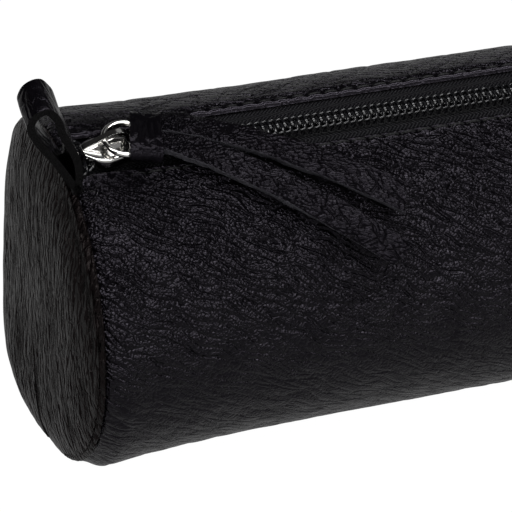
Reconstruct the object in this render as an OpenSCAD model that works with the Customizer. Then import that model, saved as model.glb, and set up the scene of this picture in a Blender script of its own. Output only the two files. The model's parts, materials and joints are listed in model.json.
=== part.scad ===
// Round soft leather case for fountain pens, closed by a coil zip along its top.
// Millimetres. +X runs along the case, -Y is the front, +Z is up.
// The origin is the middle of the flat that the case rests on.

/* [Case] */
// Length from end seam to end seam
case_length = 210; // [170:1:240]
// Outside diameter of the leather wrap
case_d = 58.8; // [50:0.2:70]
// Width of the flat that the case rests on
base_w = 15; // [10:0.5:20]
// Thickness of the leather
leather_t = 1.2; // [1:0.1:1.6]
// Thickness of the cloth lining
lining_t = 0.4; // [0.3:0.05:0.5]

/* [Ends] */
// Diameter over the soft roll at an end seam
end_d = 60; // [59.6:0.2:62]
// Radius of the soft roll round the edge of an end
end_roll = 2.2; // [1.5:0.1:3]
// How far the middle of an end stands out past its roll
end_dome = 0.8; // [0.3:0.1:2]
// Depth of the rim that is turned in and sewn
rim_turn = 4; // [3:0.5:5]
// Thickness of the board that keeps an end round
board_t = 0.8; // [0.5:0.1:1.2]

/* [Zip] */
// Lean of the zip from the top of the case towards the front, in degrees
zip_tilt = 18.2; // [0:0.1:25]
// Thickness of the zip tape
tape_t = 0.45; // [0.3:0.05:0.5]
// Reach of the tape from the middle of the chain, under the leather
tape_reach = 11.5; // [9:0.5:13]
// From the middle of the chain to the front leather edge
mouth_front = 4.6; // [4.4:0.1:6]
// From the middle of the chain to the back leather edge
mouth_back = 6.6; // [4.4:0.1:8]
// Pitch of the coil
coil_pitch = 1.3; // [1.25:0.05:1.6]
// Reach of one coil from the middle of the chain
coil_reach = 2.1; // [1.9:0.1:2.3]
// Height of the coil
coil_h = 1.6; // [1.3:0.1:1.6]
// Pitch of the hand-size stitches
stitch_pitch = 3; // [2.5:0.1:4]
// Thickness of the sewing thread
thread_d = 0.42; // [0.3:0.02:0.44]
// Distance of a stitch row from the leather edge
stitch_inset = 1; // [0.8:0.1:2]

/* [Slider] */
// Start of the closed slider, from the left end seam
slider_x = 2.8; // [2.6:0.1:4]
// Length of the slider
slider_l = 8.6; // [8:0.1:9]
// Width of the slider over its shoulders
slider_w = 7.6; // [7.2:0.1:8]
// Thickness of the slider's plates
plate_t = 0.9; // [0.7:0.1:1]

/* [Pull] */
// Thickness of the ring's wire
wire_d = 1.1; // [0.9:0.1:1.2]
// Length of the ring from bar to bar
ring_l = 5.8; // [5.6:0.1:7]
// Width of the ring over its arms
ring_w = 9.6; // [9:0.1:11]
// Turn of the ring and strap towards the front, in degrees
ring_yaw = 18; // [0:1:25]
// Width of the leather strap
strap_w = 5; // [4:0.1:6]
// Thickness of the leather strap
strap_t = 1.1; // [0.9:0.1:1.3]

/* [End tab] */
// Width of the tab's leather strip
tab_w = 7; // [5:0.5:9]
// Thickness of the tab's leather
tab_t = 1.5; // [1.2:0.1:1.6]
// Outside radius of the tab's rounded fold
tab_r = 3.6; // [3.2:0.1:4]

/* [Hidden] */
$fn = 72;
// Gap between pieces that move past each other, and between layers that lie on each other
gap = 0.3;
snug = 0.05;
// A size past every piece, for cutting shapes
far = 400;
// The wrap: its outside radius, the height of its axis, and the angle from straight down to the flat's edge
wrap_r = case_d / 2;
base_angle = asin(base_w / 2 / wrap_r);
axis_z = wrap_r * cos(base_angle);
half_l = case_length / 2;
wrap_half = half_l - gap;
// Radii of the layers under the leather
leather_in = wrap_r - leather_t;
tape_out = leather_in - snug;
tape_in = tape_out - tape_t;
lining_out = tape_in - snug;
lining_in = lining_out - lining_t;
// The living hinges along the flat's two edges leave this much free on the bottom pieces
hinge_gap = 0.7;
lining_hinge_angle = base_angle + 1.6;
// The turned-in rim of an end
rim_out = leather_in - 2 * snug;
rim_in = leather_in - leather_t;
face_r = end_d / 2 - end_roll;
mouth_notch = 26;
// The part of a stitch that shows between two holes
stitch_l = stitch_pitch * 0.72;
// An end's board and its lining fit inside the roll
board_r = face_r - end_roll - snug;
// The chain lies on the tape, and the slider's plates on both sides of it
coil_z = tape_out + 2 * snug;
coil_top = coil_z + coil_h;
spine_w = 0.8;
spine_y = coil_reach - spine_w;
tooth_l = coil_pitch / 2 - 0.07;
tooth_tip = 0.5;
coil_thread_t = 0.2;
chain_start = slider_x + 4.6;
chain_end = case_length - gap;
chain_count = floor((chain_end - chain_start) / coil_pitch) - 1;
tape_edge = 0.3;
parted_edge = 2;
parted_y = 2.7;
plate_low = coil_z - tape_t - plate_t - 0.7;
plate_high = coil_top + gap;
flange_z = coil_z + 0.25;
flange_y = slider_w / 2 - plate_t;
wedge_w = 1.6;
wedge_l = 3;
// The crown on the slider's top plate, and the ring's left bar in its eye
crown_x = slider_x + 1.5;
crown_l = 7;
crown_h = 2.75;
crown_w = 2.2;
crown_t = 0.8;
ring_x = slider_x + 5.1;
ring_z = plate_high + plate_t + 1.05;
ring_shift = 0.8;
ring_corner = 2;
ring_half = ring_w / 2 - wire_d / 2;
// The knot round the ring's right bar
knot_half = ring_w / 2;
knot_back = wire_d / 2 + 1.2;
knot_front = strap_w - knot_back;
knot_up = 1.95;
// Middle lines of the strap's two tails: from the left seam, and in degrees round the case from the chain
upper_tail = [[16.5, -3], [25, -1], [54, 34]];
lower_tail = [[15.5, 2.5], [24, 10], [52, 51]];
tail_steps = 14;
tail_gap = 0.9;
// The tab: its root on the seam, and the middle of its fold
tab_front = 8;
tab_root_z = wrap_r + 0.2;
tab_root_w = 2 * tab_t - 0.6;
tab_sides_z = tab_root_z + 0.45;
tab_fold = [-5.3, 43.9];
tab_tang = [1.2, 6.8, 3.6];

// Half-space cutter: keeps what lies above the resting plane
module above_base() {
    intersection() {
        children();
        translate([-far / 2, -far / 2, 0]) cube(far);
    }
}

// Puts children, drawn from the case's axis at the left seam with +Z through the chain, in their place
module zip_frame() {
    translate([-half_l, 0, axis_z]) rotate([zip_tilt, 0, 0]) children();
}

// Puts children, drawn round the ring's left bar, in their place
module ring_frame() {
    zip_frame() translate([ring_x, 0, ring_z]) rotate([0, 0, -ring_yaw]) translate([0, ring_shift, 0]) children();
}

// Extrudes a section drawn in Y and Z along X, from x0 to x1
module along_x(x0, x1) {
    translate([x0, 0, 0]) rotate([90, 0, 90]) linear_extrude(x1 - x0) children();
}

// Section of a layer between two angles, which run from the top towards the front
module arc_section(r_in, r_out, from, to) {
    steps = 6;
    intersection() {
        difference() {
            circle(r_out);
            circle(r_in);
        }
        polygon(concat([[0, 0]], [for (i = [0:steps]) let (a = from + (to - from) * i / steps)
            [-far * sin(a), far * cos(a)]]));
    }
}

// A side's layer from the mouth to the living hinge; front is 1 for the front and -1 for the back
module side_layer(r_in, r_out, mouth, hinge_angle, half, front) {
    open_at = zip_tilt + front * asin(mouth / r_out);
    translate([0, 0, axis_z]) along_x(-half, half)
        arc_section(r_in, r_out, open_at, front * (180 - hinge_angle));
}

module bottom_panel() {
    color("#1b1a1c") translate([-wrap_half, hinge_gap - base_w / 2, 0])
        cube([2 * wrap_half, base_w - 2 * hinge_gap, leather_t]);
}

module front_panel() {
    color("#1d1c1e") side_layer(leather_in, wrap_r, mouth_front, base_angle, wrap_half, 1);
}

module back_panel() {
    color("#1d1c1e") side_layer(leather_in, wrap_r, mouth_back, base_angle, wrap_half, -1);
}

module bottom_lining() {
    lining_half = half_l - rim_turn - gap;
    color("#2b2b2e") translate([-lining_half, 2 * hinge_gap - base_w / 2, leather_t + snug])
        cube([2 * lining_half, base_w - 4 * hinge_gap, lining_t]);
}

// Cloth behind one side, held by the same stitches as the tape
module side_lining(mouth, front) {
    color("#2b2b2e") side_layer(lining_in, lining_out, mouth, lining_hinge_angle, half_l - rim_turn - gap, front);
}

// Depth of an end's outer face at a radius, outwards from the seam
function face_x(r) = -end_roll - end_dome * (1 - pow(r / face_r, 2));

// Section of a dished layer behind the outer face, in radius and depth
module dished_section(radius, from, to) {
    steps = 10;
    polygon(concat([for (i = [0:steps]) let (r = radius * i / steps) [r, face_x(r) + from]],
        [for (i = [steps:-1:0]) let (r = radius * i / steps) [r, face_x(r) + to]]));
}

// Turns a section, drawn in radius and in depth from the left seam, round the case's axis
module round_end() {
    translate([-half_l, 0, axis_z]) rotate([0, 90, 0]) rotate_extrude() children();
}

// The round end: a domed face, a soft roll at the seam, and a rim that is turned in under the wrap
module end_disc() {
    color("#201f21") above_base() difference() {
        round_end() {
            dished_section(face_r, 0, leather_t);
            translate([face_r, 0]) intersection() {
                circle(end_roll);
                translate([-rim_turn, -rim_turn]) square([2 * rim_turn, rim_turn]);
            }
            translate([rim_in, -end_roll]) square([face_r - rim_in, end_roll]);
            translate([rim_in, -end_roll / 2]) square([rim_out - rim_in, rim_turn + end_roll / 2]);
        }
        // The rim gives way to the zip at the top and to the flat at the bottom
        zip_frame() along_x(gap / 2, 2 * rim_turn) arc_section(rim_in - 1, wrap_r, -mouth_notch, mouth_notch);
        translate([gap / 2 - half_l, -base_w / 2 - gap, 0])
            cube([2 * rim_turn, base_w + 2 * gap, leather_t + snug]);
    }
}

module end_board() {
    color("#8b7a60") above_base() round_end()
        dished_section(board_r, leather_t + snug, leather_t + snug + board_t);
}

module end_lining() {
    inner = leather_t + board_t + 2 * snug;
    color("#2b2b2e") above_base() round_end() dished_section(board_r, inner, inner + lining_t);
}

// Stitches that hold an end's rim, in a ring just inside it
module seam_thread() {
    ring_r = rim_in - thread_d / 2 - 0.06;
    count = round(360 / (stitch_pitch / ring_r * 180 / PI));
    color("#141414") for (i = [0:count - 1])
        translate([rim_turn / 2 - half_l, 0, axis_z]) rotate([i * 360 / count, 0, 0])
            translate([0, -stitch_l / 2, ring_r]) rotate([-90, 0, 0])
                cylinder(d = thread_d, h = stitch_l, $fn = 16);
}

module other_end() {
    mirror([1, 0, 0]) children();
}

// The right end has no tab, so its roll is whole
module left_end_disc() {
    difference() {
        end_disc();
        tab_foot(snug);
    }
}

// The pinched foot of the tab, which the left end's roll gives way to
module tab_foot(clear) {
    size = tab_tang + 2 * clear * [1, 1, 1];
    zip_frame() translate([-size[0] + clear, tab_w / 2 - tab_front - size[1] / 2, tab_root_z - size[2] / 2])
        cube(size);
}

// Teardrop of the folded strip, in X and Z, that runs round the fold and down to the root
module teardrop(radius, root_w) {
    lean = atan2(-tab_fold[0], tab_fold[1] - tab_root_z);
    side = [cos(lean), sin(lean)] * (radius - snug);
    translate(tab_fold) circle(radius);
    polygon([[-root_w / 2 - 0.15, tab_sides_z], tab_fold - side, tab_fold + side, [root_w / 2 - 0.15, tab_sides_z]]);
}

module end_tab() {
    color("#1d1c1e") {
        zip_frame() translate([0, tab_w - tab_front, 0]) rotate([90, 0, 0]) linear_extrude(tab_w) difference() {
            teardrop(tab_r, tab_root_w);
            intersection() {
                teardrop(tab_r - tab_t, 0.1);
                translate([-far / 2, tab_root_z + 2.6]) square(far);
            }
        }
        tab_foot(0);
    }
}

// Woven tape of one side; it steps back where the chain parts round the slider's wedge
module tape(front) {
    reach = asin(tape_reach / tape_out);
    color("#232325") zip_frame() difference() {
        along_x(gap, case_length - gap)
            arc_section(tape_in, tape_out, front * asin(tape_edge / tape_out), front * reach);
        translate([gap / 2, -parted_edge, tape_in - 2]) cube([chain_start - 1 - gap / 2, 2 * parted_edge, 4]);
    }
}

// One side's coil as a comb: a spine on the tape and teeth that reach between the other side's
module coil(front) {
    shift = front > 0 ? 0 : coil_pitch / 2;
    spine_l = chain_count * coil_pitch + tooth_l;
    tooth = [for (i = [0:chain_count]) let (x = i * coil_pitch)
        each [[x, -spine_y], [x, tooth_tip], [x + tooth_l, tooth_tip], [x + tooth_l, -spine_y]]];
    flip = front > 0 ? 0 : 1;
    color("#3a3a3d") zip_frame() mirror([0, flip, 0]) {
        translate([chain_start + shift, 0, coil_z]) linear_extrude(coil_h)
            polygon(concat(tooth, [[spine_l, -coil_reach], [0, -coil_reach]]));
        // The parted end of the coil, between the seam and the slider
        translate([gap, -parted_y - coil_reach + tooth_tip, coil_z]) {
            cube([slider_x - 2 * gap, spine_w, coil_h]);
            cube([tooth_l, coil_reach, coil_h]);
            translate([coil_pitch, 0, 0]) cube([tooth_l, coil_reach, coil_h]);
        }
    }
}

// Thread that ties each turn of a coil down to its tape
module coil_thread(front) {
    color("#101010") zip_frame() for (i = [0:chain_count])
        translate([chain_start + (i + (front > 0 ? 0 : 0.5)) * coil_pitch + 0.1,
            front > 0 ? -coil_reach + 0.1 : spine_y + 0.1, coil_top + 0.02])
            cube([tooth_l - 0.2, spine_w - 0.2, coil_thread_t]);
}

// A row of stitches through the leather, the tape and the lining: short bars outside and inside
module stitch_row(mouth, front) {
    angle = front * asin((mouth + stitch_inset) / wrap_r);
    count = floor((2 * wrap_half - 2 * stitch_pitch) / stitch_pitch);
    start = (case_length - count * stitch_pitch) / 2;
    color("#0d0d0d") zip_frame() for (i = [0:count - 1], side = [-1, 1])
        rotate([angle, 0, 0])
            translate([start + i * stitch_pitch, 0, side > 0 ? wrap_r + thread_d / 2 + 0.02
                : lining_in - thread_d / 2 - 0.02])
                rotate([0, 90, 0]) cylinder(d = thread_d, h = stitch_l, $fn = 16);
}

// Outline of a slider plate: round shoulders where the coils come in, and a narrower tail
module plate_outline() {
    tail_w = slider_w - 1.2;
    intersection() {
        polygon([[0, -slider_w / 2], [slider_l * 0.45, -slider_w / 2], [slider_l, -tail_w / 2],
            [slider_l, tail_w / 2], [slider_l * 0.45, slider_w / 2], [0, slider_w / 2]]);
        translate([slider_l * 0.54, 0]) circle(slider_l * 0.6);
    }
}

module slider_body() {
    crown_r = crown_h - 0.3;
    eye_x = crown_x + 1.1;
    eye_l = crown_l - 2.2;
    color("#c9c9c6") zip_frame() {
        translate([slider_x, 0, plate_low]) linear_extrude(plate_t) plate_outline();
        translate([slider_x, 0, plate_high]) linear_extrude(plate_t) plate_outline();
        // The wedge that parts the coils
        translate([slider_x + 0.6, 0, plate_low]) linear_extrude(plate_high - plate_low + plate_t)
            polygon([[0, -wedge_w / 4], [wedge_l * 0.4, -wedge_w / 2], [wedge_l, -0.15], [wedge_l, 0.15],
                [wedge_l * 0.4, wedge_w / 2], [0, wedge_w / 4]]);
        // Side flanges that fold down from the top plate over the coils
        translate([slider_x, 0, flange_z]) linear_extrude(plate_high - flange_z + plate_t / 2) difference() {
            plate_outline();
            translate([-1, -flange_y]) square([slider_l + 2, 2 * flange_y]);
        }
        // The crown, with its eye for the ring
        translate([0, crown_w / 2, plate_high + plate_t]) rotate([90, 0, 0]) linear_extrude(crown_w) difference() {
            union() {
                translate([crown_x, -0.2]) square([crown_l, crown_h - crown_r + 0.2]);
                intersection() {
                    translate([crown_x + crown_l / 2, crown_h - crown_l]) circle(crown_l);
                    translate([crown_x, 0]) square([crown_l, crown_h]);
                }
            }
            translate([eye_x, 0.15]) square([eye_l, crown_h - crown_t - 0.45]);
        }
    }
}

// The oval ring, drawn round its left bar; its right bar is ring_l further on
module ring_wire(d) {
    straight_y = ring_half - ring_corner;
    straight_x = ring_l - 2 * ring_corner;
    for (side = [0, 1])
        translate([side * ring_l, -straight_y, 0]) rotate([-90, 0, 0]) cylinder(d = d, h = 2 * straight_y);
    for (side = [-1, 1])
        translate([ring_corner, side * ring_half, 0]) rotate([0, 90, 0]) cylinder(d = d, h = straight_x);
    for (corner = [[0, 0], [1, 0], [1, 1], [0, 1]])
        translate([corner[0] > 0 ? ring_l - ring_corner : ring_corner, corner[1] > 0 ? straight_y : -straight_y, 0])
            rotate([0, 0, corner == [0, 0] ? 180 : corner == [1, 0] ? 270 : corner == [1, 1] ? 0 : 90])
                rotate_extrude(angle = 90) translate([ring_corner, 0]) circle(d = d, $fn = 24);
}

module pull_ring() {
    color("#d2d2d0") ring_frame() ring_wire(wire_d);
}

// A point on a tail's middle line: along the case, round it in degrees, and its radius
function tail_at(path, t, lift) = let (p = path[0] * pow(1 - t, 2) + path[1] * 2 * t * (1 - t) + path[2] * t * t)
    [p[0], p[1], wrap_r + tail_gap + strap_t / 2 + lift * pow(1 - t, 3) + 0.5 * t * t];
function on_case(p) = [p[0], -p[2] * sin(p[1]), p[2] * cos(p[1])];

// Four corners of the tail's section at t, turned to lie flat on the case and square to the middle line
function tail_ring(path, t, lift) = let (
    here = tail_at(path, t, lift),
    ahead = on_case(tail_at(path, t + 0.01, lift)) - on_case(tail_at(path, t - 0.01, lift)),
    out = [0, -sin(here[1]), cos(here[1])],
    across = cross(out, ahead / norm(ahead)),
    side = across / norm(across) * strap_w / 2,
    up = out * strap_t / 2)
    [on_case(here) - side - up, on_case(here) + side - up, on_case(here) + side + up, on_case(here) - side + up];

module tail(path, lift) {
    rings = [for (i = [0:tail_steps]) each tail_ring(path, i / tail_steps, lift)];
    walls = [for (i = [0:tail_steps - 1], k = [0:3]) let (a = 4 * i + k, b = 4 * i + (k + 1) % 4)
        each [[a, a + 4, b + 4], [a, b + 4, b]]];
    last = 4 * tail_steps;
    ends = [[0, 1, 2], [0, 2, 3], [last + 2, last + 1, last], [last + 3, last + 2, last]];
    polyhedron(rings, concat(ends, walls), convexity = 6);
}

// A leather thong folded round the ring, with both tails drawn through its own loop
module pull_strap() {
    color("#1a191b") {
        ring_frame() difference() {
            intersection() {
                union() {
                    translate([ring_l, knot_half, 0]) rotate([90, 0, 0]) cylinder(r = knot_back, h = 2 * knot_half);
                    translate([ring_l, -knot_half, -knot_back])
                        cube([knot_front, 2 * knot_half, knot_back + knot_up]);
                }
                translate([ring_l - 2 * knot_back, 0, (knot_up - knot_back) / 2]) rotate([90, 0, 90])
                    linear_extrude(4 * knot_front) union() {
                        square([2 * knot_half - 3, knot_up + knot_back], center = true);
                        for (side = [-1, 1]) translate([side * (knot_half - 1.8), 0]) circle(1.8);
                    }
            }
            ring_wire(wire_d + 2 * gap);
        }
        zip_frame() {
            tail(upper_tail, 1.7);
            tail(lower_tail, 1.1);
        }
    }
}

bottom_panel();
front_panel();
back_panel();
bottom_lining();
side_lining(mouth_front, 1);  // front_lining
side_lining(mouth_back, -1);  // back_lining
left_end_disc();
other_end() end_disc();  // right_end_disc
end_board();  // left_end_board
other_end() end_board();  // right_end_board
end_lining();  // left_end_lining
other_end() end_lining();  // right_end_lining
seam_thread();  // left_seam_thread
other_end() seam_thread();  // right_seam_thread
end_tab();
tape(1);  // front_tape
tape(-1);  // back_tape
coil(1);  // front_coil
coil(-1);  // back_coil
coil_thread(1);  // front_coil_thread
coil_thread(-1);  // back_coil_thread
stitch_row(mouth_front, 1);  // front_stitches
stitch_row(mouth_back, -1);  // back_stitches
slider_body();
pull_ring();
pull_strap();
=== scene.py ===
import json
import math

import bpy
import numpy as np
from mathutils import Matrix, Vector


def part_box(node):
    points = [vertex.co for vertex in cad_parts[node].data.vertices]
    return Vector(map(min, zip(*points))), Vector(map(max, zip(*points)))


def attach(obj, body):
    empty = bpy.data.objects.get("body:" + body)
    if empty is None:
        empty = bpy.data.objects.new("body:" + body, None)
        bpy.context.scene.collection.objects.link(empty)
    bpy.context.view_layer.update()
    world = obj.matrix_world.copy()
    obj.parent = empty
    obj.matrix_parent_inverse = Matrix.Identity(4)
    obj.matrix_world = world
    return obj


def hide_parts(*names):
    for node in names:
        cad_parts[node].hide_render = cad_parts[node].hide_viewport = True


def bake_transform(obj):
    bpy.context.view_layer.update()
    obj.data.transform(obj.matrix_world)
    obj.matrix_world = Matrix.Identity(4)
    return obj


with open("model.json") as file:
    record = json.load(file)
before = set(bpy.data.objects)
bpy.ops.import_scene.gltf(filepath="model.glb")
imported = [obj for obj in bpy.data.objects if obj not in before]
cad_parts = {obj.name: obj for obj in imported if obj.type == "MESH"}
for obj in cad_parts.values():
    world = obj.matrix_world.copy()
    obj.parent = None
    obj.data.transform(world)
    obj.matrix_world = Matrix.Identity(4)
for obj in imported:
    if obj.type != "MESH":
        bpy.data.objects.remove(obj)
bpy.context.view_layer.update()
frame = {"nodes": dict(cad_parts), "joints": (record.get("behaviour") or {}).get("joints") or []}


# ---- Camera ----
# A long lens looks down on the case from its left front, and crops the case behind its zip's first half.
# Shapes are worked out in millimetres and become metres when a mesh gets its points.
mm = 0.001
picture_px = 512
camera_turn = math.radians(21)
camera_drop = math.radians(25.7)
camera_distance = 546
focal_px = 3230
seam_centre_px = (48.2, 289.1)
sensor_width = 36

wrap_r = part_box("back_panel")[1].y / mm
seam_gap = 0.3
seam_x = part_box("front_panel")[0].x / mm - seam_gap
end_ring_low, end_ring_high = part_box("left_end_lining")
axis_z = (end_ring_low.z + end_ring_high.z) / 2 / mm

forward = Vector((
    math.sin(camera_turn) * math.cos(camera_drop),
    math.cos(camera_turn) * math.cos(camera_drop),
    -math.sin(camera_drop),
))
rightward = Vector((math.cos(camera_turn), -math.sin(camera_turn), 0))
upward = rightward.cross(forward)
aside = (seam_centre_px[0] - picture_px / 2) / focal_px
above = (picture_px / 2 - seam_centre_px[1]) / focal_px
sight = forward + aside * rightward + above * upward
camera_place = Vector((seam_x, 0, axis_z)) - camera_distance * sight
bpy.ops.object.camera_add(
    location=camera_place * mm, rotation=(math.pi / 2 - camera_drop, 0, -camera_turn))
camera = bpy.context.object
camera.data.sensor_width = sensor_width
camera.data.lens = focal_px / picture_px * sensor_width
camera.data.clip_start = 0.01
camera.data.clip_end = 20
bpy.context.scene.camera = camera
bpy.context.scene.view_settings.view_transform = "Standard"


# ---- Studio ----
# A pale floor in a dim room. Three long soft boxes hang above and before the case, and three weak lamps
# fill its left, back and front. The camera sees floor and room as white, and gloss sees them dimmer.
floor_side = 12
floor_white = 0.9
floor_seen = 1.03
floor_mirrored = 0.3
floor_glow_share = 0.97
wall_light = 0.3
wall_top = 0.3
room_light = 0.012
left_wall_from = -0.3
left_wall_to = -0.7
left_wall_share = 0.1
case_middle = (0, 0, 0.03)
lamps = (
    ("overhead_box", (0.0, -0.1, 0.75), case_middle, (1.4, 0.2), 6.4),
    ("high_front_box", (0.0, -0.55, 0.6), case_middle, (1.4, 0.12), 4.9),
    ("low_front_box", (0.0, -0.85, 0.32), case_middle, (1.4, 0.1), 2.5),
    ("left_fill", (-0.9, -0.25, 0.35), (-0.1, 0, 0.03), (0.5, 0.5), 0.25),
    ("back_fill", (0.2, 0.36, 0.72), (-0.09, -0.01, 0.06), (0.3, 0.3), 0.06),
    ("front_fill", (0.1, -1.0, 0.45), (-0.05, 0, 0.03), (0.8, 0.4), 0.6),
)


def new_finish(name):
    """A new material, its nodes, and its shader."""
    finish = bpy.data.materials.new(name)
    finish.use_nodes = True
    return finish, finish.node_tree, finish.node_tree.nodes["Principled BSDF"]


def feed(node, inputs):
    """Sets a node's inputs to numbers or colours, or links them to the sockets given."""
    for key, value in inputs.items():
        if isinstance(value, bpy.types.NodeSocket):
            node.id_data.links.new(value, node.inputs[key])
        else:
            node.inputs[key].default_value = value


def put(tree, kind, inputs=None, **settings):
    """Adds a node with its settings and inputs."""
    node = tree.nodes.new(kind)
    for key, value in settings.items():
        setattr(node, key, value)
    feed(node, inputs or {})
    return node


def calc(tree, operation, *values):
    """The result of a math node on numbers or sockets."""
    return put(tree, "ShaderNodeMath", dict(enumerate(values)), operation=operation).outputs[0]


def spread(tree, value, to_low, to_high, from_low=0.0, from_high=1.0):
    """A value moved from one range to another, and held within it."""
    return put(tree, "ShaderNodeMapRange", {
        "Value": value, "From Min": from_low, "From Max": from_high,
        "To Min": to_low, "To Max": to_high}).outputs[0]


def noise(tree, per_mm, detail, place=None):
    """Noise of so many forms a millimetre, at the piece's own points unless a place is given."""
    if place is None:
        place = put(tree, "ShaderNodeTexCoord").outputs["Object"]
    return put(tree, "ShaderNodeTexNoise", {
        "Vector": place, "Scale": per_mm / mm, "Detail": detail}).outputs["Fac"]


def bumped(tree, height, depth):
    """Normals of a surface that rises with a height, by a depth in millimetres where it is 1."""
    return put(tree, "ShaderNodeBump", {"Height": height, "Distance": depth * mm}).outputs[0]


def seen_directly(tree):
    """1 where a camera, glossy or transmission ray arrives, otherwise 0."""
    ray = put(tree, "ShaderNodeLightPath").outputs
    either = calc(tree, "MAXIMUM", ray["Is Camera Ray"], ray["Is Glossy Ray"])
    return calc(tree, "MAXIMUM", either, ray["Is Transmission Ray"])


bpy.ops.object.select_all(action="DESELECT")
bpy.ops.mesh.primitive_plane_add(size=floor_side)
floor = bpy.context.object
floor.name = "floor"
floor_paint, floor_tree, floor_shader = new_finish("floor_paint")
feed(floor_shader, {
    "Base Color": (floor_white, floor_white, floor_white, 1), "Roughness": 0.9, "Specular IOR Level": 0.1})
floor_path = put(floor_tree, "ShaderNodeLightPath")
floor_strength = spread(floor_tree, floor_path.outputs["Is Camera Ray"], floor_mirrored, floor_seen)
floor_glow = put(floor_tree, "ShaderNodeEmission", {"Color": (1, 1, 1, 1), "Strength": floor_strength})
floor_share = calc(floor_tree, "MULTIPLY", seen_directly(floor_tree), floor_glow_share)
floor_mix = put(floor_tree, "ShaderNodeMixShader", {
    0: floor_share, 1: floor_shader.outputs[0], 2: floor_glow.outputs[0]})
feed(floor_tree.nodes["Material Output"], {"Surface": floor_mix.outputs[0]})
floor.data.materials.append(floor_paint)

room = bpy.data.worlds.new("room")
bpy.context.scene.world = room
room.use_nodes = True
room_tree = room.node_tree
room_path = put(room_tree, "ShaderNodeLightPath")
room_way = put(room_tree, "ShaderNodeTexCoord")
room_parts = put(room_tree, "ShaderNodeSeparateXYZ", {0: room_way.outputs["Object"]})
room_rise = calc(room_tree, "ABSOLUTE", room_parts.outputs[2])
room_fall = spread(room_tree, room_rise, wall_light, room_light, 0.0, wall_top)
room_left = spread(room_tree, room_parts.outputs[0], 1.0, left_wall_share, left_wall_from, left_wall_to)
room_shade = calc(room_tree, "MULTIPLY", room_fall, room_left)
room_strength = put(room_tree, "ShaderNodeMix", {
    "Factor": room_path.outputs["Is Camera Ray"], "A": room_shade, "B": 1.0}, data_type="FLOAT")
feed(room_tree.nodes["Background"], {"Color": (1, 1, 1, 1), "Strength": room_strength.outputs[0]})

for name, place, aim, size, power in lamps:
    bpy.ops.object.light_add(type="AREA", location=place)
    light = bpy.context.object
    light.name = name
    light.rotation_euler = (Vector(aim) - Vector(place)).to_track_quat("-Z", "Y").to_euler()
    light.data.shape = "RECTANGLE"
    light.data.size, light.data.size_y = size
    light.data.energy = power


# ---- Leather wrap ----
# One sheet of pebbled black leather goes round the case from one side of the zip to the other.
# It is turned in at the zip, swells where it is sewn to the ends, and lies flat along its bottom.
# Its sides bend with the mouth, so each is made in a left and a right half that meet at mid length.
leather_t = 1.2
half_length = -seam_x
base_half = wrap_r * math.sin(math.acos(axis_z / wrap_r))
base_turn = math.pi - math.asin(base_half / wrap_r)
swing_axis = next(joint["axis"] for joint in frame["joints"] if joint["name"] == "ring_swing")
zip_turn = math.atan2(-swing_axis[2], -swing_axis[1])
mouth_front = 4.6
mouth_back = 6.6
mouth_closed = 4.4
stitch_pitch = 3.0
stitch_inset = 1.0
stitch_first = 4.5
stitch_gap = 0.84
swell_side = 0.9
swell_low = 0.95
swell_reach = 11.5
seam_dip = 0.9
flat_from = 150
turned_drop = 0.85
turned_w = 0.8
edge_bulge = 0.14
edge_valley = 0.22
fold_slope = math.radians(33)
fold_bend = 3.5
broad_fold = 0.10
crease_depth = 0.14
soft_folds = ((0.07, 9, 2.6, 9.3), (0.03, 3.4, 1.6, 2.8))
slider_hollow = 0.9
pucker_depth = 0.13
gather_depth = 0.26
end_leans = ((2.6, -80, 42), (-1.3, -146, 24))
front_pit = 0.9
back_pit = 0.3
thread_groove = 0.16
wrap_cells = (270, 150)
mouth_crowding = 0.42
end_crowding = 0.6
leather_black = (0.0015, 0.0013, 0.0018)


def smooth_line(points, share):
    """Points at shares from 0 to 1 of a smooth line through the given points."""
    line = np.array(points, float)
    line = np.vstack([2 * line[0] - line[1], line, 2 * line[-1] - line[-2]])
    spans = len(points) - 1
    span = np.clip(np.floor(share * spans).astype(int), 0, spans - 1)
    t = (share * spans - span)[:, None]
    a, b, c, d = line[span], line[span + 1], line[span + 2], line[span + 3]
    return b + (c - a) * t / 2 + (2 * a - 5 * b + 4 * c - d) * t**2 / 2 + (3 * b - a - 3 * c + d) * t**3 / 2


def step(low, high, value):
    """0 below low, 1 above high, and a smooth rise between them."""
    t = np.clip((value - low) / (high - low), 0, 1)
    return t * t * (3 - 2 * t)


def hump(centre, width, value):
    """A smooth hump, 1 high, round a centre."""
    return np.exp(-(((value - centre) / width) ** 2))


def crowded(share, first):
    """Shares from 0 to 1 that lie closer together near 0, where they are first times as far apart."""
    return share * (first + (1 - first) * share)


def ripple(across, along, length, width, seed):
    """Smooth noise from -1 to 1 whose forms are about so long and so wide."""
    x = np.asarray(across) / length + 17.3 * seed
    y = np.asarray(along) / width + 5.7 * seed
    left, low = np.floor(x), np.floor(y)
    slopes = {}
    for i in (0, 1):
        for j in (0, 1):
            bend = np.sin((left + i) * 127.1 + (low + j) * 311.7) * 43758.5453 % 1 * 2 * math.pi
            slopes[i, j] = np.cos(bend) * (x - left - i) + np.sin(bend) * (y - low - j)
    right_share, high_share = (t**3 * (t * (t * 6 - 15) + 10) for t in (x - left, y - low))
    lower = slopes[0, 0] + (slopes[1, 0] - slopes[0, 0]) * right_share
    upper = slopes[0, 1] + (slopes[1, 1] - slopes[0, 1]) * right_share
    return 1.5 * (lower + (upper - lower) * high_share)


def round_case(inset, turn, radius):
    """Points from their distance to the left seam, their turn from the top to the front, and radius."""
    return np.stack([seam_x + inset, -radius * np.sin(turn), axis_z + radius * np.cos(turn)], -1)


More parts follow.
